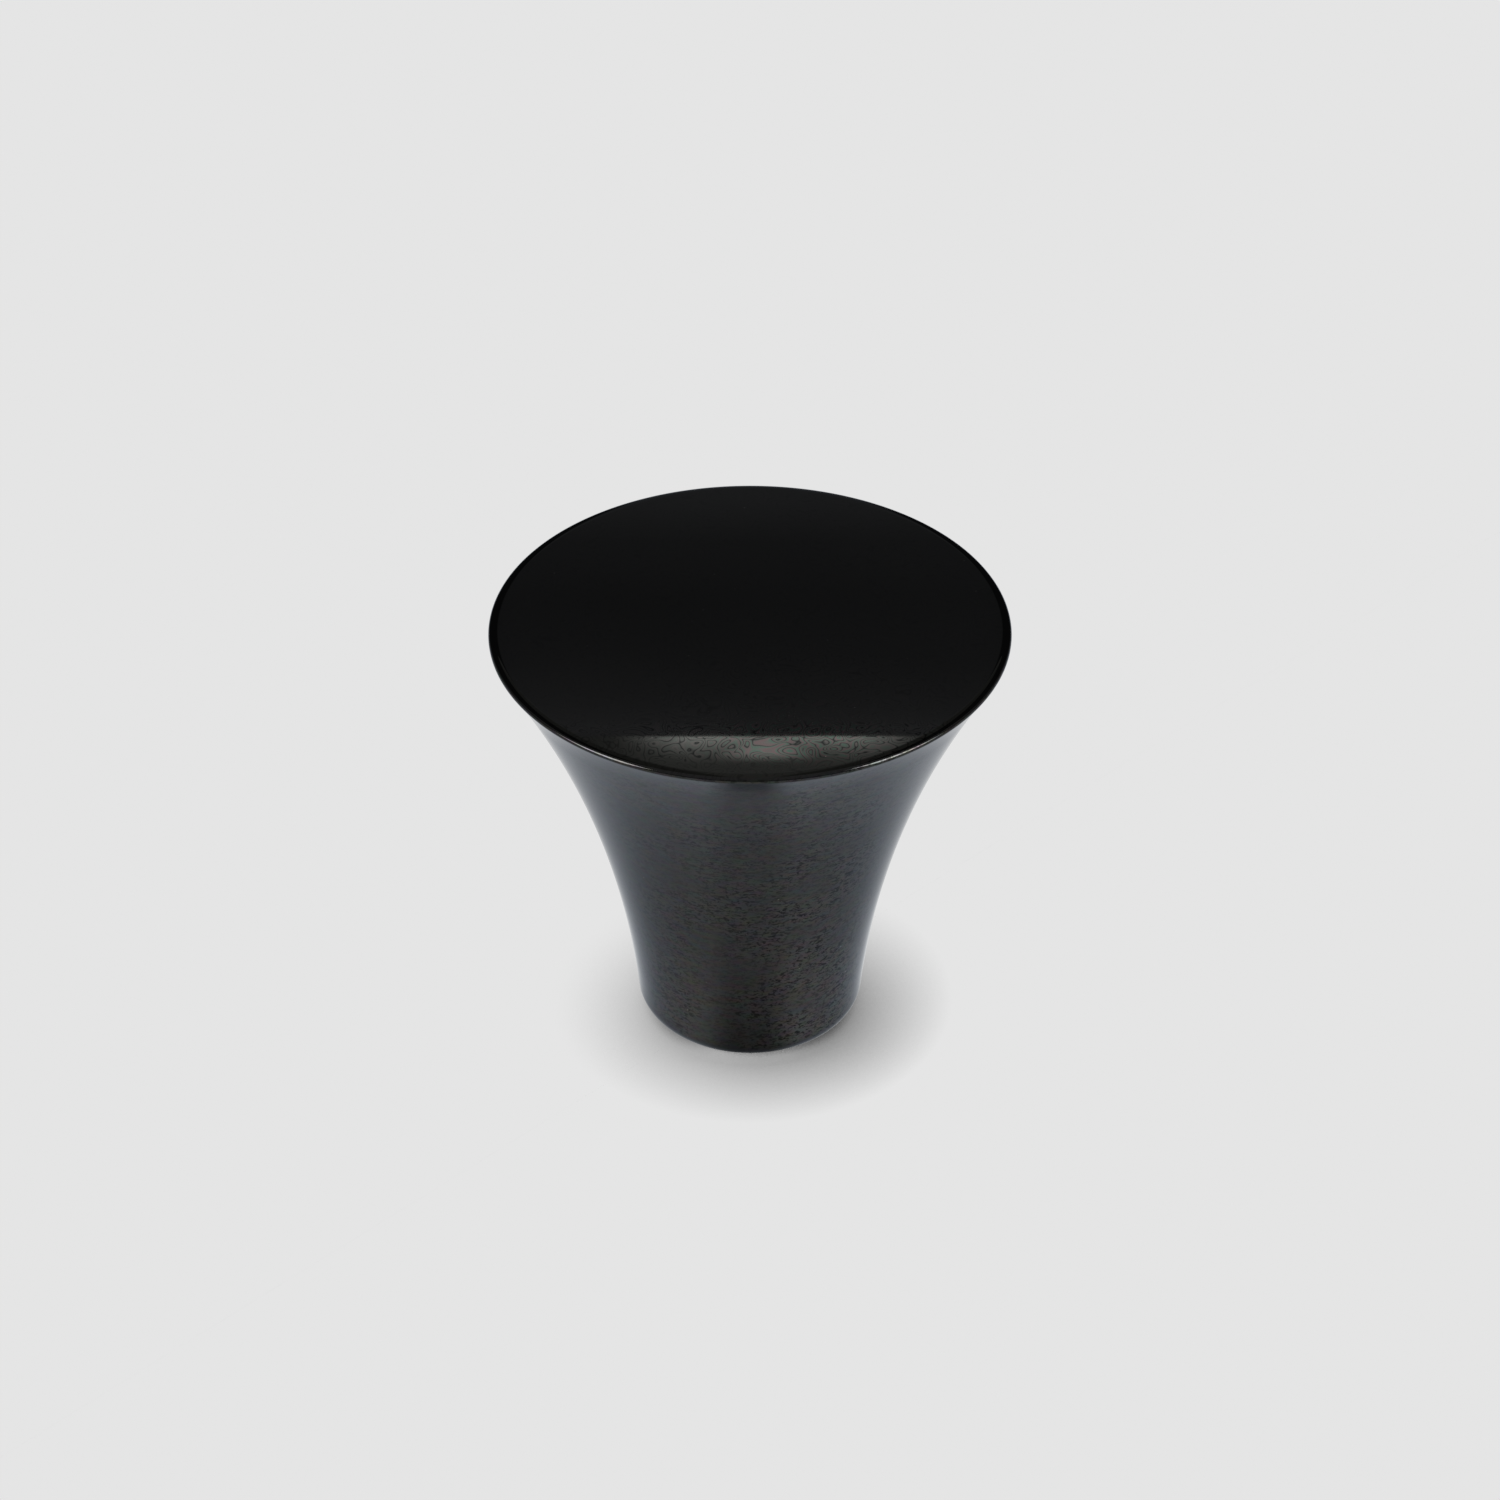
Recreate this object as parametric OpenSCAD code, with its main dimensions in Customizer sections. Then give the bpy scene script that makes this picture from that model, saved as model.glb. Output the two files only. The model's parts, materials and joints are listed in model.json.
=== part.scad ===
// Round cabinet knob, made as one solid casting and plated all over.
// A slim flat foot flares in one concave sweep, tighter under the rim, to a wide flat face with a softened edge.
// It stands on its foot at the origin, on the Z axis, in millimetres.

/* [Overall size] */
// Diameter across the rim, the widest place
rim_d = 28; // [24:0.5:36]
// Height from the foot to the flat face
knob_h = 25; // [20:0.5:32]
// Diameter that the flare would have in the foot's plane, without the foot's rounding
neck_d = 12.2; // [10:0.2:15]

/* [Flare] */
// Radius of the concave sweep from the foot to the lip
flare_r = 56; // [40:1:90]
// Radius of the lip, the tighter curve in which the sweep ends under the rim
lip_r = 20; // [8:1:35]
// How far the lip carries the rim out past the line of the sweep
lip_out = 0.08; // [0.02:0.01:0.2]
// Rounding between the sweep and the flat foot
foot_r = 1.5; // [0.5:0.1:1.8]

/* [Face and rim] */
// Width of the narrow ring in which the flat face rolls down to the rim
roll_w = 0.5; // [0.3:0.05:1]
// Radius of that roll
roll_r = 1.5; // [1.2:0.1:3]
// Rounding of the rim's edge
nose_r = 0.15; // [0.1:0.01:0.25]

/* [Screw hole] */
// Major diameter of the tapped thread
thread_d = 4; // [3:1:5]
// Depth of the thread's wall below the foot's plane
thread_depth = 12; // [8:0.5:14]
// Width of the chamfer round the hole's mouth
mouth_w = 0.4; // [0.2:0.1:0.6]
// Full angle of the drill's point
drill_angle = 118; // [90:1:140]

/* [Hidden] */

// Segments in a full circle on screen
$fn = 240;

// How far a cut or a clipping shape runs past what it cuts
over = 1;

// Spacing of the coarse places that an arc's centre is first moved to
grid = 0.01;

// The profile is a chain of arcs that are tangent where they meet, given by their centres.
// The roll starts level with the face and holds the nose inside it.
roll_c = [rim_d / 2 - roll_w, knob_h - roll_r];
nose_x = rim_d / 2 - nose_r;
nose_c = [nose_x, roll_c.y + sqrt(pow(roll_r - nose_r, 2) - pow(nose_x - roll_c.x, 2))];
// The sweep passes through the neck in the foot's plane, and would touch a nose that stood further in.
neck = [neck_d / 2, 0];
flare_c = meeting(neck, flare_r, nose_c - [lip_out, 0], flare_r + nose_r);
// The lip goes on from the sweep without a kink and touches the nose from outside.
lip_c = meeting(nose_c, lip_r + nose_r, flare_c, flare_r - lip_r);
lip_start = towards(flare_c, lip_c, flare_r);
// The foot's rounding stands on the foot's plane and touches the sweep.
foot_c = [flare_c.x - sqrt(pow(flare_r + foot_r, 2) - pow(flare_c.y - foot_r, 2)), foot_r];

// Radius of the hole and the height of its drill point
thread_r = thread_d / 2;
drill_tip = thread_r / tan(drill_angle / 2);

// A vector of length 1 along v
function unit(v) = v / norm(v);

// The point on the line from p to q, at distance d from p
function towards(p, q, d) = p + d * unit(q - p);

// Of the two points at distance ra from a and rb from b, the one to the right of the way from a to b
function meeting(a, ra, b, rb) =
    let (d = norm(b - a),
         along = (d * d + ra * ra - rb * rb) / (2 * d),
         way = unit(b - a))
    a + along * way + sqrt(ra * ra - along * along) * [way.y, -way.x];

// A full disc whose centre is placed in two steps, to the grid and then the rest,
// so that it keeps all its digits and the arcs stay tangent
module disc(centre, r) {
    near = [for (v = centre) grid * round(v / grid)];
    translate(near) translate(centre - near) circle(r);
}

// Straight-sided middle of the profile, before the flank is hollowed
module blank() {
    polygon([
        [0, 0],
        [foot_c.x, 0],
        foot_c,
        towards(foot_c, flare_c, foot_r + over),
        towards(nose_c, lip_c, nose_r + over),
        nose_c,
        [roll_c.x, nose_c.y],
        [roll_c.x, knob_h],
        [0, knob_h]
    ]);
}

// Room beside the flank: the sweep's disc up to the lip's start, and the lip's disc
module hollow_flank() {
    disc(lip_c, lip_r);
    intersection() {
        disc(flare_c, flare_r);
        polygon([
            [0, -over],
            [0, knob_h],
            towards(lip_c, lip_start, lip_r + over),
            lip_c,
            [lip_c.x, -over]
        ]);
    }
}

// Rounding of the foot, from the flat foot round to the sweep
module foot_rounding() {
    intersection() {
        disc(foot_c, foot_r);
        polygon([
            foot_c,
            [foot_c.x, -over],
            [foot_c.x + foot_r + over, -over],
            towards(foot_c, flare_c, foot_r + over)
        ]);
    }
}

// Rounding of the rim's edge, from the lip round to the roll
module rim_nose() {
    intersection() {
        disc(nose_c, nose_r);
        polygon([
            nose_c,
            towards(nose_c, lip_c, nose_r + over),
            [nose_c.x + nose_r + over, nose_c.y],
            towards(nose_c, roll_c, -nose_r - over)
        ]);
    }
}

// Ring where the face rolls down, from the flat to the nose
module face_roll() {
    intersection() {
        disc(roll_c, roll_r);
        polygon([
            nose_c,
            towards(nose_c, roll_c, -nose_r - over),
            [roll_c.x, knob_h + over],
            [roll_c.x, nose_c.y]
        ]);
    }
}

// Half of the knob's section, with X as the radius and Y as the height
module profile() {
    difference() {
        blank();
        hollow_flank();
    }
    foot_rounding();
    rim_nose();
    face_roll();
}

// Blind tapped hole up the axis, at the thread's major diameter, with its drill point and chamfer
module screw_hole() {
    translate([0, 0, -over]) cylinder(h = thread_depth + over, r = thread_r);
    translate([0, 0, thread_depth]) cylinder(h = drill_tip, r1 = thread_r, r2 = 0);
    translate([0, 0, -over]) cylinder(h = over + mouth_w, r1 = thread_r + mouth_w + over, r2 = thread_r);
}

module knob() {
    color([0.10, 0.10, 0.11]) difference() {
        rotate_extrude() profile();
        screw_hole();
    }
}

knob();
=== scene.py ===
"""Looks of the round cabinet knob: its dark mirror plating, the thread in its screw hole, and its studio.

Lengths are in metres, in the part's own frame: the foot stands at the origin and +Z runs up the axis.
A name that ends in SPAN says where a change starts and ends, and a pair beside it gives the values there.
"""

import json
import math

import bmesh
import bpy
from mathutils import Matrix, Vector


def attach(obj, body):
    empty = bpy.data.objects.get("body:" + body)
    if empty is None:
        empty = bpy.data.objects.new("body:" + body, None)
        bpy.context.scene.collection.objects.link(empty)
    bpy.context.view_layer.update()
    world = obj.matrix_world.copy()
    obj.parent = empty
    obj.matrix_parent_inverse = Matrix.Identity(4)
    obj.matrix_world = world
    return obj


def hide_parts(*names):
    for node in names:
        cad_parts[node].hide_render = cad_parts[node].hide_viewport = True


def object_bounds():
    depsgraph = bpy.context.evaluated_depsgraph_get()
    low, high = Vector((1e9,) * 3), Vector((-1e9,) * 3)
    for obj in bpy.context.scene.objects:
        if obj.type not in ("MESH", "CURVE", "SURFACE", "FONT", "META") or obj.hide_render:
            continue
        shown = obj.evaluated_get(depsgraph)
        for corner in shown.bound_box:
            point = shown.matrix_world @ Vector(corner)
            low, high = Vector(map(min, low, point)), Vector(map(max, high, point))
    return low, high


MM = 0.001
MICRON = 0.001 * MM

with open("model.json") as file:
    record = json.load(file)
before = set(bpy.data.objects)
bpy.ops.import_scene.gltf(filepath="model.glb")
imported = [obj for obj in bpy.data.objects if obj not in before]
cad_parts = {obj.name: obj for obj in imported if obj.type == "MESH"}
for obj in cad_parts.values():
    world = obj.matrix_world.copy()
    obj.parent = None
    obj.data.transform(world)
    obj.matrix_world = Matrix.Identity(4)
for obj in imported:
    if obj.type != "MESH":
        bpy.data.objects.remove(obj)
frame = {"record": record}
cad_low, cad_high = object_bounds()

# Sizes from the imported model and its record
KNOB_HEIGHT = cad_high.z - cad_low.z
RIM_RADIUS = (cad_high.x - cad_low.x) / 2
SCREW_HOLE = next(m for m in frame["record"]["mounts"] if m["name"] == "screw_hole")
HOLE_RADIUS = SCREW_HOLE["dims"]["r_mm"] * MM
HOLE_WALL = SCREW_HOLE["dims"]["length_mm"] * MM

# The rest of the profile's driving sizes, as the part's source has them
NECK_DIAMETER = 12.2 * MM
FLARE_RADIUS = 56 * MM
LIP_RADIUS = 20 * MM
LIP_OUT = 0.08 * MM
FOOT_ROUNDING = 1.5 * MM
ROLL_WIDTH = 0.5 * MM
ROLL_RADIUS = 1.5 * MM
NOSE_RADIUS = 0.15 * MM
MOUTH_WIDTH = 0.4 * MM
DRILL_ANGLE = math.radians(118)

# Fineness of the turned skin: steps round the axis and along each arc of the profile
TURN_STEPS = 360
FOOT_STEPS = 14
FLARE_STEPS = 44
LIP_STEPS = 12
NOSE_STEPS = 16
ROLL_STEPS = 10
HOLDING_RING = 0.05 * MM  # how far inside a flat's edge a ring keeps it flat
SKIN_SHARP = math.radians(30)  # edges that turn more than this aren't smoothed

# M4 x 0.7 thread: its ridge stands in from the hole's wall
PITCH = 0.7 * MM
RIDGE_HEIGHT = 0.379 * MM
RIDGE_ROOT = PITCH * 7 / 8
RIDGE_CREST = PITCH / 4
THREAD_STEPS = 48  # per turn
RUN_OUT = 0.4  # turns over which the ridge rises and fades at its ends
SPARE_TURN = 0.5  # turns left out at the hole's inner end
SUNK = 0.03 * MM  # how deep the ridge's root lies in the wall
THREAD_SHARP = math.radians(25)

# The photograph's frame, in its own pixels, and what was read off it
PHOTO_SIDE = 1500
AXIS_ROW = 814.7  # row of the knob's middle
FOCAL_PX = 5621  # focal length
EDGE_ROW = 736.5  # row in the face's mirror where the dark wall ends and the strip light starts

# Camera: how far from the knob's middle and how high above the horizon
CAMERA_DISTANCE = 308 * MM
CAMERA_ELEVATION = math.radians(36.28)
CAMERA_RANGE = (10 * MM, 20)  # nearest and farthest that it sees
SENSOR_MM = 36

# Colours as scene-linear values
WHITE = (1, 1, 1)
PALE_TONE = 0.783
PALE = (PALE_TONE, PALE_TONE, PALE_TONE)
METAL = (0.0410, 0.0405, 0.0405)
METAL_EDGE = (0.70, 0.735, 0.785)
STRIP_COLOUR = (1.0, 1.01, 0.92)

# Noise: its mean, and the octaves added to the first, for fine marks and for all else but the film
NOISE_MEAN = 0.5
FINE_DETAIL = 2.0
PLAIN_DETAIL = 1.0

# The face's own finish begins this far under it, where the rim rolls down
FACE_EDGE_SPAN = (0.12 * MM, 0.02 * MM)
FACE_ROUGHNESS = 0.013
FLANK_ROUGHNESS = 0.09

# Film on the face: its thickness is a twisted slow noise, and its colours repeat as that rises
FILM_SIZE = 1.5 * MM
FILM_DETAIL = 0.2
FILM_TWIST = 1.6
FILM_REPEATS = 8.0
FILM_COLOURS = (
    (0.00, (0.12, 0.12, 0.11)),
    (0.16, (0.95, 0.96, 0.94)),
    (0.36, (0.66, 1.20, 0.98)),
    (0.52, (1.06, 1.06, 1.04)),
    (0.74, (1.32, 0.86, 0.96)),
    (0.88, (1.00, 0.95, 0.95)),
    (1.00, (0.12, 0.12, 0.11)),
)
FILM_PLAIN = (0.94, 0.94, 0.93)
# It is most colourful round one place
IRIS_PLACE = Vector((2.5 * MM, -10 * MM, KNOB_HEIGHT))
IRIS_SPAN = (1.5 * MM, 6 * MM)
IRIS_SATURATION = (1.0, 0.2)
# Its lines are strong in a band along the face's front, by Y and by the distance from the same place
FILM_FRONT_SPAN = (-12.8 * MM, -11.6 * MM)
FILM_FRONT = (0.3, 1.0)
FILM_BACK_SPAN = (-9.4 * MM, -8.6 * MM)
FILM_BACK = (1.0, 0.25)
FILM_AROUND_SPAN = (6.5 * MM, 10 * MM)
FILM_AROUND = (1.0, 0.5)

# Mottle below the rim: short dark marks along the turning
MARK_FLATTENED = (1.0, 1.0, 2.1)
MARK_SIZE = 0.28 * MM
MARK_TWIST = 1.0
MARK_SPAN = (0.36, 0.54)
MARK = (-1.0, 0.4)
MARK_DEPTH = 0.6
# It comes in patches, weaker near the rim and towards -X
PATCH_SIZE = 3 * MM
PATCH_SPAN = (0.33, 0.67)
PATCH = (0.35, 1.0)
PATCH_UNDER_SPAN = (2 * MM, 8 * MM)
PATCH_UNDER = (0.75, 1.0)
PATCH_ACROSS_SPAN = (-4 * MM, 4 * MM)
PATCH_ACROSS = (0.7, 1.3)
# Faint tints below the rim
TINT_SIZE = 0.8 * MM
TINT_DEPTH = 0.7

# Tone: a slow drift, rare tiny bright specks, and a painted sheen under the rim, by the depth under the
# face: a lighter band that stands in for a brighter reflection there
DRIFT_SIZE = 9 * MM
DRIFT_DEPTH = 0.25
SPECK_SPACING = 1.3 * MM
SPECK_SPAN = (0.015, 0.04)  # as shares of the spacing
SPECK = (3.0, 1.0)
# The lighter band under the rim is painted sheen, a lighter colour in place of a brighter reflection
PAINTED_SHEEN_SPAN = (7.2 * MM, 2 * MM)
PAINTED_SHEEN = (0.0, 0.36)
PAINTED_SHEEN_END_SPAN = (1.4 * MM, 0.8 * MM)

# Relief: a very slow wave all over, and an orange peel below the rim
WAVE_SIZE = 8 * MM
WAVE_HEIGHT = 1.1 * MICRON
PEEL_SIZE = 0.45 * MM
PEEL_HEIGHT = 1.0 * MICRON

# Half of the floor's side
FLOOR_HALF = 2

# Floor shadow: how far the knob shades the floor, and the lean that draws the shadow to one side
SHADOW_REACH = 5.3 * MM
SHADOW_LEAN = (-0.34, 0.43, 0)
SHADOW_SAMPLES = 8
# The shadow is thinner in front of the foot: the power of the shade there, by the distance from the axis
FRONT_SPAN = (5.3 * MM, 6.5 * MM)
FRONT_POWER = (0.36, 0.82)
FRONT_SIDES_SPAN = (math.radians(15), math.radians(60))
# The knob's flank mirrors the floor close to it: dim in front, under the camera, and lighter to the sides
UNDER_CAMERA_SPAN = (7 * MM, 13 * MM)
UNDER_CAMERA = (0.30, 0.66)
BESIDE_SPAN = (9 * MM, 14 * MM)
BESIDE = (0.95, 0.80)
CAMERA_SHADE_SPAN = (math.radians(8), math.radians(36))  # how far to the sides the dim place reaches
CONTACT_SPAN = (5.2 * MM, 7.6 * MM)
CONTACT = (0.45, 1.0)  # how dim it is right at the foot
CLOSE_SPAN = (13 * MM, 17 * MM)  # past this the mirrored floor is the floor as it shows

# Reflected studio: four dark walls and a roof in a square round the knob, open at the floor
TENT_HALF = 300 * MM
TENT_FOOT = 60 * MM
TENT_TOP = 520 * MM
CARD_GAP = 1 * MM  # how far a light card hangs in front of its wall
# Wall brightness: (height, strength), from the tent's foot to its top
WALL_TONES = (
    (60 * MM, 0.25),
    (150 * MM, 0.20),
    (212 * MM, 0.22),
    (218 * MM, 0.14),
    (226 * MM, 0.115),
    (235 * MM, 0.13),
    (241 * MM, 0.175),
    (245.8 * MM, 0.25),
    (248 * MM, 0.17),
    (360 * MM, 0.20),
    (520 * MM, 0.36),
)
ROOF_TONE = 0.3
# The rear wall is as bright as the others behind the knob and at its corners, and dark between those
BEHIND_SPAN = (27 * MM, 42 * MM)
SIDE_TONE = 0.04
CORNER_SPAN = (170 * MM, 290 * MM)

# Strip light on the edge of the rear wall's dark part: a thick core, and a thin glow along the edge
STRIP_HALF = 80 * MM
CORE_MIDDLE = 2 * MM
CORE_SIDES_SPAN = (0.5 * MM, 9 * MM)
CORE_GLOW = (2.2, 0.0)
CORE_HEIGHTS_SPAN = (2.3 * MM, 4.1 * MM)
EDGE_MIDDLE = 2.6 * MM
EDGE_SIDES_SPAN = (8 * MM, 19.5 * MM)
EDGE_GLOW = (2.7, 0.0)
EDGE_HEIGHTS = (4.6 * MM, 2.6 * MM)  # how high the glow reaches, in its middle and at its ends
EDGE_FADE = 2.0  # power of the glow's fade with height
# Above them it is dim, and dimmer higher up and to the sides
ABOVE_SPAN = (249 * MM, 256 * MM)
ABOVE = (0.40, ROOF_TONE)
ABOVE_SIDES_SPAN = (12 * MM, 24 * MM)
ABOVE_SIDES = (1.0, 0.5)

# Tall soft boxes to the left and right, a little to the front
BOX_HEIGHTS = (100 * MM, 519 * MM)
BOX_MIDDLE = -135 * MM
BOX_SIDES_SPAN = (50 * MM, 140 * MM)
BOX_GLOW = (11.0, 0.0)
BOX_FOOT_SPAN = (100 * MM, 170 * MM)


class Nodes:
    """The node tree of a material or world, with short ways to add nodes and link them."""

    def __init__(self, owner):
        owner.use_nodes = True
        self.tree = owner.node_tree
        self.tree.nodes.clear()

    def put(self, socket, value):
        """Links value to the socket if it is a socket itself, and sets it otherwise."""
        if isinstance(value, bpy.types.NodeSocket):
            self.tree.links.new(value, socket)
        else:
            socket.default_value = value

    def add(self, kind, inputs=None, **settings):
        node = self.tree.nodes.new("ShaderNode" + kind)
        for key, value in settings.items():
            setattr(node, key, value)
        for key, value in (inputs or {}).items():
            self.put(node.inputs[key], value)
        return node

    def math(self, operation, *values):
        node = self.add("Math", operation=operation)
        for socket, value in zip(node.inputs, values):
            self.put(socket, value)
        return node.outputs["Value"]

    def product(self, value, *others):
        """The product of two or more numbers."""
        for other in others:
            value = self.math("MULTIPLY", value, other)
        return value

    def vector_math(self, operation, *values):
        node = self.add("VectorMath", operation=operation)
        for socket, value in zip(node.inputs, values):
            self.put(socket, value)
        return node.outputs["Vector"]

    def place(self):
        """The shaded point in the frame's own coordinates."""
        return self.add("TexCoord").outputs["Object"]

    def axes(self, place):
        """The X, Y and Z of a place."""
        return self.add("SeparateXYZ", {"Vector": place}).outputs[:3]

    def remap(self, value, start, end, to_start=0.0, to_end=1.0):
        """A smooth change from to_start to to_end as value goes from start to end."""
        names = ("Value", "From Min", "From Max", "To Min", "To Max")
        inputs = dict(zip(names, (value, start, end, to_start, to_end)))
        return self.add("MapRange", inputs, interpolation_type="SMOOTHSTEP").outputs["Result"]

    def steps(self, value, tones):
        """A brightness that runs straight from one (place, strength) pair to the next."""
        low, high = tones[0][0], tones[-1][0]
        share = self.math("DIVIDE", self.math("SUBTRACT", value, low), high - low)
        return self.ramp(share, [((place - low) / (high - low), [tone] * 3) for place, tone in tones])

    def ramp(self, share, stops):
        """A colour that runs straight from one (position, colour) stop to the next."""
        node = self.add("ValToRGB", {"Fac": share})
        elements = node.color_ramp.elements
        while len(elements) < len(stops):
            elements.new(0.5)
        for element, (position, colour) in zip(elements, stops):
            element.position = position
            element.color = (*colour, 1)
        return node.outputs["Color"]

    def scaled(self, colour, factor):
        """The colour times a factor."""
        node = self.add("VectorMath", operation="SCALE")
        self.put(node.inputs[0], colour)
        self.put(node.inputs["Scale"], factor)
        return node.outputs["Vector"]

    def between(self, share, first, second):
        """The first number where share is 0 and the second where it is 1."""
        # Sockets 2 and 3 of a Mix node are its two numbers
        return self.add("Mix", {"Factor": share, 2: first, 3: second}, data_type="FLOAT").outputs[0]

    def noise(self, place, size, detail, twist=0.0):
        """Cloud noise whose blotches are about size across."""
        inputs = {"Vector": place, "Scale": 1 / size, "Detail": detail, "Distortion": twist}
        return self.add("TexNoise", inputs).outputs

    def mixed_shaders(self, share, first, second):
        """The first shader where share is 0 and the second where it is 1."""
        node = self.add("MixShader", {"Fac": share})
        self.put(node.inputs[1], first.outputs[0])
        self.put(node.inputs[2], second.outputs[0])
        return node

    def finish(self, shader, kind="OutputMaterial"):
        self.put(self.add(kind).inputs["Surface"], shader.outputs[0])


def new_object(name, mesh):
    made = bpy.data.objects.new(name, mesh)
    bpy.context.collection.objects.link(made)
    return made


def smooth_object(name, made, sharp):
    """An object from a finished bmesh, smooth but for the edges that turn more than sharp."""
    bmesh.ops.recalc_face_normals(made, faces=made.faces)
    mesh = bpy.data.meshes.new(name)
    made.to_mesh(mesh)
    made.free()
    mesh.shade_smooth()
    mesh.set_sharp_from_angle(angle=sharp)
    return new_object(name, mesh)


def meeting(a, ra, b, rb):
    """The point at distance ra from a and rb from b that lies to the right of the way from a to b."""
    way = b - a
    d = way.length
    along = (d * d + ra * ra - rb * rb) / (2 * d)
    way = way / d
    return a + along * way + math.sqrt(ra * ra - along * along) * Vector((way.y, -way.x))


def arc(centre, radius, start, end, steps):
    """Points of an arc round centre, from the direction of start to that of end."""
    first = math.atan2(*reversed(start))
    last = math.atan2(*reversed(end))
    turns = [first + (last - first) * i / steps for i in range(steps + 1)]
    return [centre + radius * Vector((math.cos(t), math.sin(t))) for t in turns]


def profile():
    """Half of the knob's section as (radius, height) points, from the drill's point to mid-face."""
    roll = Vector((RIM_RADIUS - ROLL_WIDTH, KNOB_HEIGHT - ROLL_RADIUS))
    nose_x = RIM_RADIUS - NOSE_RADIUS
    nose = Vector((nose_x, roll.y + math.sqrt((ROLL_RADIUS - NOSE_RADIUS) ** 2 - (nose_x - roll.x) ** 2)))
    neck = Vector((NECK_DIAMETER / 2, 0))
    flare = meeting(neck, FLARE_RADIUS, nose - Vector((LIP_OUT, 0)), FLARE_RADIUS + NOSE_RADIUS)
    lip = meeting(nose, LIP_RADIUS + NOSE_RADIUS, flare, FLARE_RADIUS - LIP_RADIUS)
    drop = math.sqrt((FLARE_RADIUS + FOOT_ROUNDING) ** 2 - (flare.y - FOOT_ROUNDING) ** 2)
    foot = Vector((flare.x - drop, FOOT_ROUNDING))
    depth = MOUTH_WIDTH + HOLE_WALL
    points = [Vector((0, depth + HOLE_RADIUS / math.tan(DRILL_ANGLE / 2)))]
    points += [Vector((HOLE_RADIUS, depth)), Vector((HOLE_RADIUS, MOUTH_WIDTH))]
    points += [Vector((HOLE_RADIUS + MOUTH_WIDTH, 0)), Vector((foot.x - HOLDING_RING, 0))]
    points += arc(foot, FOOT_ROUNDING, Vector((0, -1)), flare - foot, FOOT_STEPS)
    points += arc(flare, FLARE_RADIUS, foot - flare, lip - flare, FLARE_STEPS)[1:]
    points += arc(lip, LIP_RADIUS, lip - flare, nose - lip, LIP_STEPS)[1:]
    points += arc(nose, NOSE_RADIUS, lip - nose, nose - roll, NOSE_STEPS)[1:]
    points += arc(roll, ROLL_RADIUS, nose - roll, Vector((0, 1)), ROLL_STEPS)[1:]
    points += [Vector((roll.x - HOLDING_RING, KNOB_HEIGHT)), Vector((0, KNOB_HEIGHT))]
    return points


def turned(name, points, steps):
    """A closed mesh made by turning the points about Z. The first and last lie on the axis."""
    made = bmesh.new()
    angles = [2 * math.pi * i / steps for i in range(steps)]
    rings = []
    for point in points:
        if point.x == 0:
            rings.append([made.verts.new((0, 0, point.y))])
            continue
        around = [(point.x * math.cos(a), point.x * math.sin(a), point.y) for a in angles]
        rings.append([made.verts.new(place) for place in around])
    for low, high in zip(rings, rings[1:]):
        for i in range(steps):
            j = (i + 1) % steps
            corners = [low[i % len(low)], low[j % len(low)], high[j % len(high)], high[i % len(high)]]
            made.faces.new(list(dict.fromkeys(corners)))
    return smooth_object(name, made, SKIN_SHARP)


def thread():
    """The ridge of the tapped thread: a helix in the hole's wall that rises and fades at its ends."""
    turns = (HOLE_WALL - RIDGE_ROOT) / PITCH - SPARE_TURN
    start = MOUTH_WIDTH + RIDGE_ROOT / 2
    count = int(turns * THREAD_STEPS)
    root = HOLE_RADIUS + SUNK
    half_root, half_crest = RIDGE_ROOT / 2, RIDGE_CREST / 2
    made = bmesh.new()
    sections = []
    for i in range(count + 1):
        turn = i / THREAD_STEPS
        rise = min(1, turn / RUN_OUT, (count / THREAD_STEPS - turn) / RUN_OUT)
        crest = HOLE_RADIUS - RIDGE_HEIGHT * rise
        angle = 2 * math.pi * turn
        around = Vector((math.cos(angle), math.sin(angle), 0))
        height = start + PITCH * turn
        corners = ((root, -half_root), (root, half_root), (crest, half_crest), (crest, -half_crest))
        sections.append([made.verts.new(around * r + Vector((0, 0, height + z))) for r, z in corners])
    for a, b in zip(sections, sections[1:]):
        for k in range(4):
            made.faces.new((a[k], a[(k + 1) % 4], b[(k + 1) % 4], b[k]))
    made.faces.new(sections[0])
    made.faces.new(reversed(sections[-1]))
    return smooth_object("thread", made, THREAD_SHARP)


def film(n, place, face):
    """The tint of the film on the face: contour lines of grey, green and pink where a light is mirrored."""
    thickness = n.noise(place, FILM_SIZE, FILM_DETAIL, FILM_TWIST)["Fac"]
    contours = n.ramp(n.math("FRACT", n.product(thickness, FILM_REPEATS)), FILM_COLOURS)
    away = n.add("VectorMath", {0: place, 1: IRIS_PLACE}, operation="DISTANCE").outputs["Value"]
    vivid = n.remap(away, *IRIS_SPAN, *IRIS_SATURATION)
    contours = n.add("HueSaturation", {"Saturation": vivid, "Color": contours}).outputs["Color"]
    y = n.axes(place)[1]
    back = n.remap(y, *FILM_BACK_SPAN, *FILM_BACK)
    front = n.remap(y, *FILM_FRONT_SPAN, *FILM_FRONT)
    around = n.remap(away, *FILM_AROUND_SPAN, *FILM_AROUND)
    strong = n.product(back, front, around)
    # Sockets 6 and 7 of a Mix node are its two colours, and output 2 is what they give
    mix = n.add("Mix", {"Factor": n.product(face, strong)}, data_type="RGBA")
    n.put(mix.inputs[6], (*FILM_PLAIN, 1))
    n.put(mix.inputs[7], contours)
    return mix.outputs[2]


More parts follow.
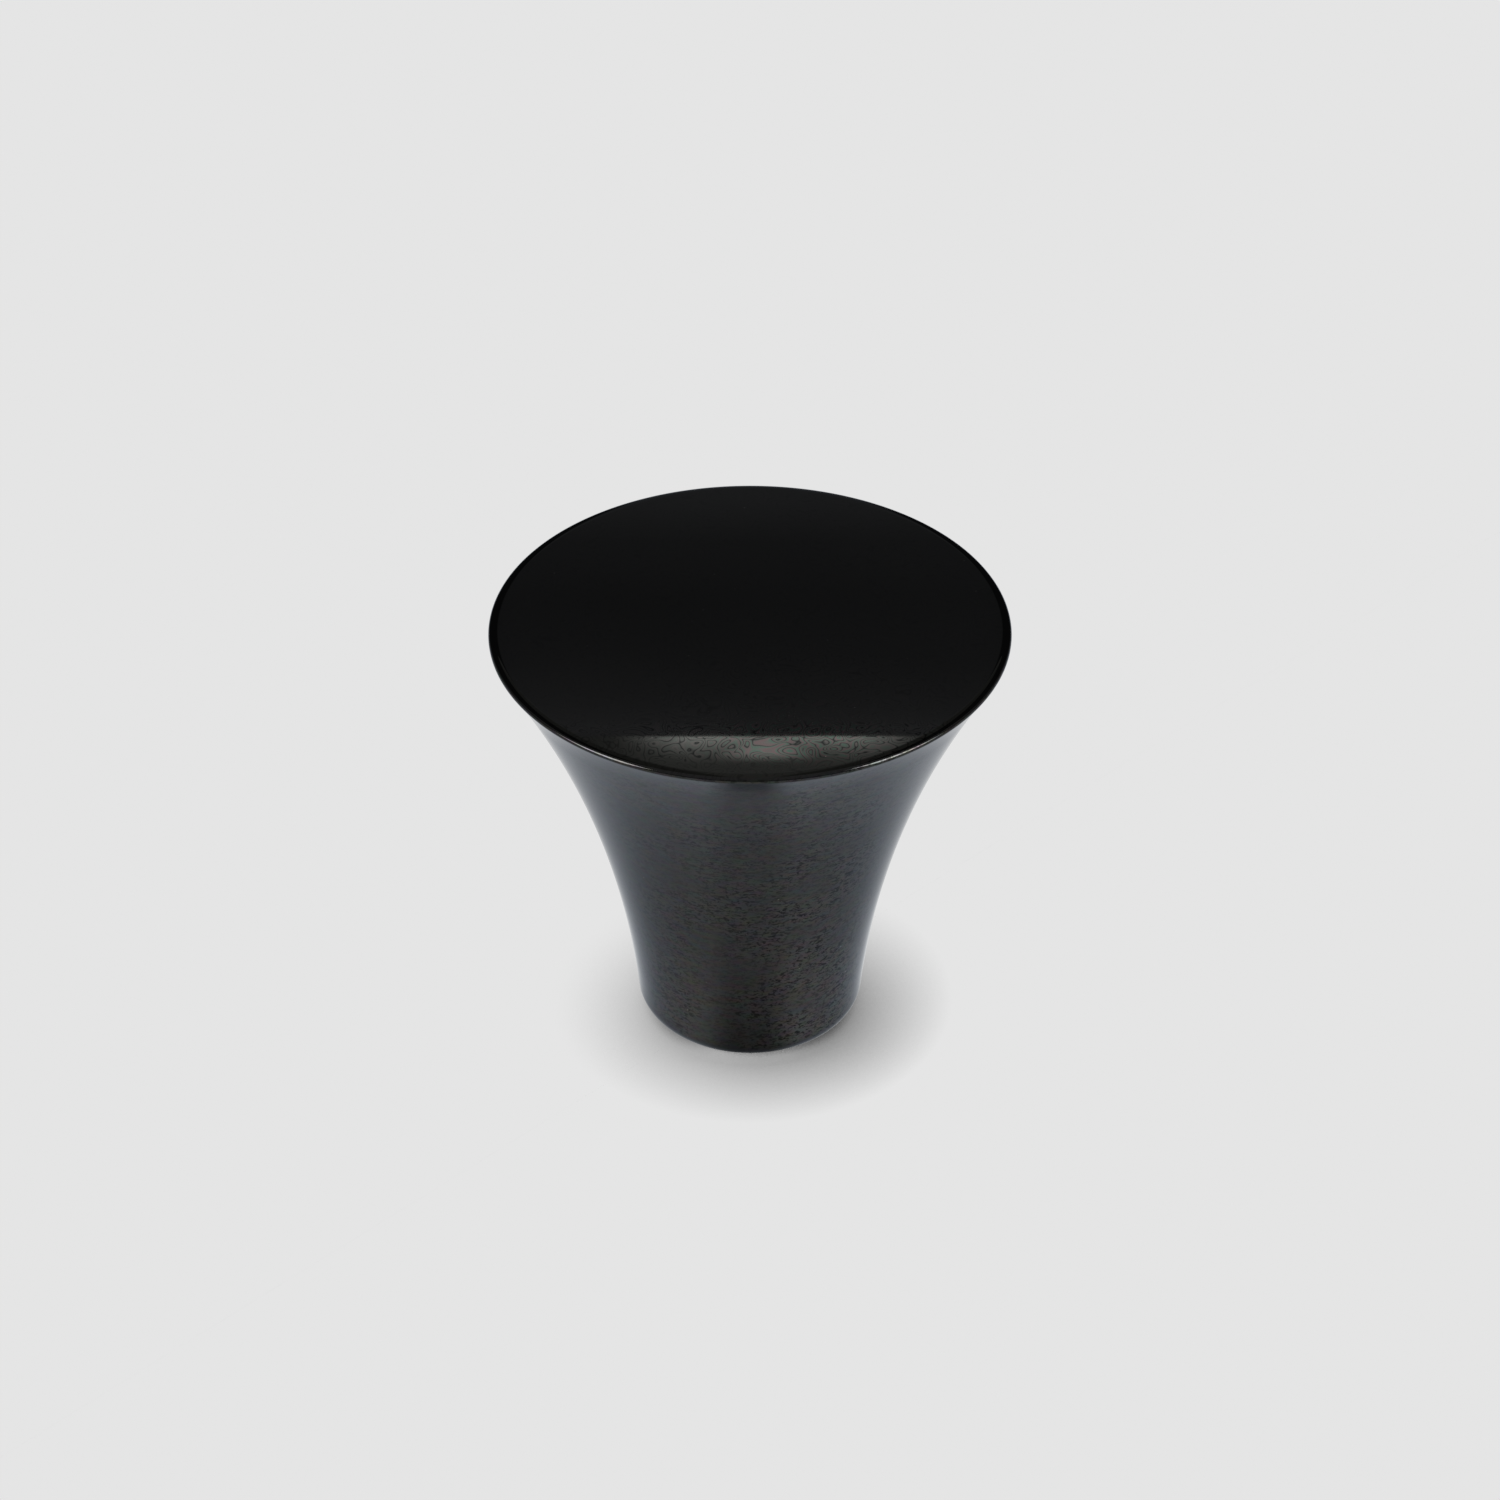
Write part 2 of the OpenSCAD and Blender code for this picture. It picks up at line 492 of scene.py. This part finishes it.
def mottle(n, place, under, below):
    """The tone and the tint of the fine marks below the rim."""
    flattened = n.vector_math("MULTIPLY", place, MARK_FLATTENED)
    marks = n.remap(n.noise(flattened, MARK_SIZE, FINE_DETAIL, MARK_TWIST)["Fac"], *MARK_SPAN, *MARK)
    patches = n.remap(n.noise(place, PATCH_SIZE, PLAIN_DETAIL)["Fac"], *PATCH_SPAN, *PATCH)
    down = n.remap(under, *PATCH_UNDER_SPAN, *PATCH_UNDER)
    across = n.remap(n.axes(place)[0], *PATCH_ACROSS_SPAN, *PATCH_ACROSS)
    depth = n.product(patches, down, across, below, MARK_DEPTH)
    tint = n.vector_math("SUBTRACT", n.noise(flattened, TINT_SIZE, FINE_DETAIL)["Color"], [NOISE_MEAN] * 3)
    tint = n.scaled(tint, n.product(below, TINT_DEPTH))
    return n.math("MULTIPLY_ADD", marks, depth, 1.0), n.vector_math("ADD", tint, WHITE)


def drift_and_painted_sheen(n, place, under):
    """The slow changes of tone, with the specks and the painted sheen: a lighter band under the rim."""
    slow = n.math("SUBTRACT", n.noise(place, DRIFT_SIZE, PLAIN_DETAIL)["Fac"], NOISE_MEAN)
    tone = n.math("MULTIPLY_ADD", slow, DRIFT_DEPTH, 1.0)
    speck = n.add("TexVoronoi", {"Vector": place, "Scale": 1 / SPECK_SPACING}).outputs["Distance"]
    # The lighter band under the rim is painted sheen, in place of a brighter reflection
    painted_sheen = n.product(n.remap(under, *PAINTED_SHEEN_SPAN, *PAINTED_SHEEN), n.remap(under, *PAINTED_SHEEN_END_SPAN, 1.0, 0.0))
    return n.product(tone, n.remap(speck, *SPECK_SPAN, *SPECK), n.math("ADD", painted_sheen, 1.0))


def relief(n, place, below):
    """The normal of the slow wave and the orange peel."""
    wave = n.product(n.noise(place, WAVE_SIZE, PLAIN_DETAIL)["Fac"], WAVE_HEIGHT)
    peel = n.product(n.noise(place, PEEL_SIZE, PLAIN_DETAIL)["Fac"], PEEL_HEIGHT, below)
    height = n.math("ADD", wave, peel)
    return n.add("Bump", {"Height": height, "Strength": 1.0, "Distance": 1.0}).outputs["Normal"]


def plating():
    """Dark mirror plating on a polished casting: clear with a film on the face, softer below the rim."""
    made = bpy.data.materials.new("dark_plating")
    n = Nodes(made)
    place = n.place()
    under = n.math("SUBTRACT", KNOB_HEIGHT, n.axes(place)[2])
    face = n.remap(under, *FACE_EDGE_SPAN)
    below = n.math("SUBTRACT", 1.0, face)
    marks, tint = mottle(n, place, under, below)
    tone = n.product(marks, drift_and_painted_sheen(n, place, under))
    colour = n.scaled(n.vector_math("MULTIPLY", film(n, place, face), tint), tone)
    skin = n.add("BsdfPrincipled", {"Metallic": 1.0, "Specular Tint": (*METAL_EDGE, 1)})
    n.put(skin.inputs["Base Color"], n.vector_math("MULTIPLY", colour, METAL))
    n.put(skin.inputs["Roughness"], n.remap(face, 0.0, 1.0, FLANK_ROUGHNESS, FACE_ROUGHNESS))
    n.put(skin.inputs["Normal"], relief(n, place, below))
    n.finish(skin)
    return made


def shown_rays(n):
    """1 for the rays that show the background, straight or in the knob's mirror."""
    rays = n.add("LightPath").outputs
    straight_or_mirror = n.math("MAXIMUM", rays["Is Camera Ray"], rays["Is Glossy Ray"])
    return n.math("MAXIMUM", straight_or_mirror, rays["Is Transmission Ray"])


def floor_place(n):
    """A floor point's distance from the knob's axis, and its angle from straight in front of it."""
    x, y = n.axes(n.place())[:2]
    away = n.math("SQRT", n.math("MULTIPLY_ADD", x, x, n.product(y, y)))
    turn = n.math("ABSOLUTE", n.math("ARCTAN2", x, n.product(y, -1.0)))
    return away, turn


def shaded_floor(n, away, turn):
    """The floor's brightness as it shows, with the knob's shadow on it."""
    upright = n.add("NewGeometry").outputs["Normal"]
    lean = n.vector_math("NORMALIZE", n.vector_math("ADD", upright, SHADOW_LEAN))
    near = n.add("AmbientOcclusion", {"Distance": SHADOW_REACH, "Normal": lean}, samples=SHADOW_SAMPLES)
    power = n.between(n.remap(turn, *FRONT_SIDES_SPAN), n.remap(away, *FRONT_SPAN, *FRONT_POWER), 1.0)
    return n.product(n.math("POWER", near.outputs["AO"], power), PALE_TONE)


def mirrored_floor(n, away, turn, shaded):
    """The floor's brightness in the knob's mirror, which far from the knob is as shaded says."""
    front = n.remap(away, *UNDER_CAMERA_SPAN, *UNDER_CAMERA)
    beside = n.remap(away, *BESIDE_SPAN, *BESIDE)
    close = n.between(n.remap(turn, *CAMERA_SHADE_SPAN), front, beside)
    close = n.product(close, n.remap(away, *CONTACT_SPAN, *CONTACT))
    return n.between(n.remap(away, *CLOSE_SPAN), close, shaded)


def build_floor():
    """A wide pale floor that keeps the knob's soft, close shadow."""
    made = bpy.data.materials.new("pale_floor")
    n = Nodes(made)
    away, turn = floor_place(n)
    shaded = shaded_floor(n, away, turn)
    mirrored = mirrored_floor(n, away, turn, shaded)
    tone = n.between(n.add("LightPath").outputs["Is Glossy Ray"], shaded, mirrored)
    plain = n.add("BsdfDiffuse", {"Color": (*PALE, 1)})
    shown = n.add("Emission", {"Color": (*WHITE, 1), "Strength": tone})
    n.finish(n.mixed_shaders(shown_rays(n), plain, shown))
    floor = flat_card("floor", level_corners(FLOOR_HALF, 0))
    floor.data.materials.append(made)


def flat_card(name, corners):
    """A flat stage card through four corners."""
    mesh = bpy.data.meshes.new(name)
    mesh.from_pydata([Vector(c) for c in corners], [], [(0, 1, 2, 3)])
    card = new_object(name, mesh)
    return card


def mirror_card(name, corners, material):
    """A stage card that shows only in the knob's mirror."""
    card = flat_card(name, corners)
    card.data.materials.append(material)
    card.visible_camera = False
    card.visible_diffuse = False
    card.visible_transmission = False
    card.visible_volume_scatter = False
    card.visible_shadow = False
    return card


def glow(name, strength, colour=WHITE):
    """A shining material. Its strength is a number, or a function that adds the nodes for it."""
    made = bpy.data.materials.new(name)
    n = Nodes(made)
    if callable(strength):
        strength = strength(n, *n.axes(n.place()))
    n.finish(n.add("Emission", {"Color": (*colour, 1), "Strength": strength}))
    return made


def level_corners(half, height):
    """Corners of a square level card round the axis."""
    return [(-half, -half, height), (half, -half, height), (half, half, height), (-half, half, height)]


def wall_corners(side, low, high, start, end, gap=0.0):
    """Corners of an upright card on one side of the tent: 0 behind, 1 left, 2 in front and 3 right."""
    away = TENT_HALF - gap
    turn = math.pi / 2 * side
    across = Vector((math.cos(turn), math.sin(turn), 0))
    out = Vector((-math.sin(turn), math.cos(turn), 0))
    places = ((start, low), (end, low), (end, high), (start, high))
    return [out * away + across * x + Vector((0, 0, z)) for x, z in places]


def edge_height():
    """How high on the rear wall the face mirrors EDGE_ROW, in the middle of the photograph."""
    # Camera place and view in the plane X = 0
    sine, cosine = math.sin(CAMERA_ELEVATION), math.cos(CAMERA_ELEVATION)
    half = KNOB_HEIGHT / 2
    eye = Vector((-CAMERA_DISTANCE * cosine, half + CAMERA_DISTANCE * sine))
    # Where the row's line of sight meets the face
    slope = (AXIS_ROW - EDGE_ROW) / FOCAL_PX
    place = (slope * (CAMERA_DISTANCE - half * sine) - half * cosine) / (sine - slope * cosine)
    rise = (eye.y - KNOB_HEIGHT) / (place - eye.x)
    return KNOB_HEIGHT + (TENT_HALF - CARD_GAP - place) * rise


def wall_tone(n, x, y, z):
    """How bright a wall is, by the height alone."""
    return n.steps(z, WALL_TONES)


def rear_tone(n, x, y, z):
    """How bright the rear wall is, darker on both sides of its middle."""
    aside = n.math("ABSOLUTE", x)
    bright = n.math("MAXIMUM", n.remap(aside, *BEHIND_SPAN, 1.0, 0.0), n.remap(aside, *CORNER_SPAN))
    return n.between(bright, SIDE_TONE, n.steps(z, WALL_TONES))


def strip_tone(n, x, y, z):
    """How bright the strip light is, with its core, its glow and the dim part above."""
    up = n.math("SUBTRACT", z, edge_height())
    aside = n.math("ABSOLUTE", n.math("SUBTRACT", x, CORE_MIDDLE))
    core = n.product(n.remap(aside, *CORE_SIDES_SPAN, *CORE_GLOW), n.remap(up, *CORE_HEIGHTS_SPAN, 1.0, 0.0))
    aside = n.math("ABSOLUTE", n.math("SUBTRACT", x, EDGE_MIDDLE))
    share = n.math("DIVIDE", up, n.remap(aside, *EDGE_SIDES_SPAN, *EDGE_HEIGHTS))
    fade = n.math("POWER", n.math("MAXIMUM", n.math("SUBTRACT", 1.0, share), 0.0), EDGE_FADE)
    edge = n.product(n.remap(aside, *EDGE_SIDES_SPAN, *EDGE_GLOW), fade)
    above = n.product(n.remap(z, *ABOVE_SPAN, *ABOVE), n.remap(aside, *ABOVE_SIDES_SPAN, *ABOVE_SIDES))
    return n.math("ADD", n.math("MAXIMUM", core, edge), above)


def box_tone(n, x, y, z):
    """How bright a soft box is, on top of its wall's own tone."""
    aside = n.math("ABSOLUTE", n.math("SUBTRACT", y, BOX_MIDDLE))
    shine = n.product(n.remap(aside, *BOX_SIDES_SPAN, *BOX_GLOW), n.remap(z, *BOX_FOOT_SPAN))
    return n.math("ADD", shine, n.steps(z, WALL_TONES))


def build_tent():
    """The dark tent and its lights, which the knob's face and rim reflect."""
    rear = glow("rear_wall", rear_tone)
    wall = glow("tent_wall", wall_tone)
    for side in range(4):
        corners = wall_corners(side, TENT_FOOT, TENT_TOP, -TENT_HALF, TENT_HALF)
        mirror_card(f"tent_wall_{side}", corners, wall if side else rear)
    mirror_card("tent_roof", level_corners(TENT_HALF, TENT_TOP), glow("tent_roof", ROOF_TONE))
    corners = wall_corners(0, edge_height(), TENT_TOP, -STRIP_HALF, STRIP_HALF, CARD_GAP)
    mirror_card("strip_light", corners, glow("strip_light", strip_tone, STRIP_COLOUR))
    reach = BOX_SIDES_SPAN[1]
    front, back = BOX_MIDDLE - reach, BOX_MIDDLE + reach
    for side, start, end in ((1, front, back), (3, -back, -front)):
        corners = wall_corners(side, *BOX_HEIGHTS, start, end, CARD_GAP)
        mirror_card(f"soft_box_{side}", corners, glow(f"soft_box_{side}", box_tone))


def build_camera():
    """The photograph's view: aimed so that the knob's middle falls on AXIS_ROW."""
    data = bpy.data.cameras.new("camera")
    data.sensor_width = SENSOR_MM
    data.lens = FOCAL_PX / PHOTO_SIDE * SENSOR_MM
    data.clip_start, data.clip_end = CAMERA_RANGE
    camera = new_object("camera", data)
    middle = Vector((0, 0, KNOB_HEIGHT / 2))
    back = Vector((0, -math.cos(CAMERA_ELEVATION), math.sin(CAMERA_ELEVATION)))
    camera.location = middle + back * CAMERA_DISTANCE
    tilt = math.atan((AXIS_ROW - PHOTO_SIDE / 2) / FOCAL_PX)
    camera.rotation_euler = (math.pi / 2 - CAMERA_ELEVATION + tilt, 0, 0)
    bpy.context.scene.camera = camera


def build_world():
    """An even pale surround."""
    world = bpy.data.worlds.new("surround")
    n = Nodes(world)
    light = n.add("Background", {"Color": (*WHITE, 1)})
    seen = n.add("Background", {"Color": (*PALE, 1)})
    n.finish(n.mixed_shaders(shown_rays(n), light, seen), "OutputWorld")
    bpy.context.scene.world = world


finish = plating()
skin = turned("knob_skin", profile(), TURN_STEPS)
ridge = thread()
for piece in (skin, ridge):
    piece.data.materials.append(finish)
    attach(piece, "root")
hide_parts("knob")
build_floor()
build_tent()
build_camera()
build_world()
bpy.context.scene.view_settings.view_transform = "Standard"
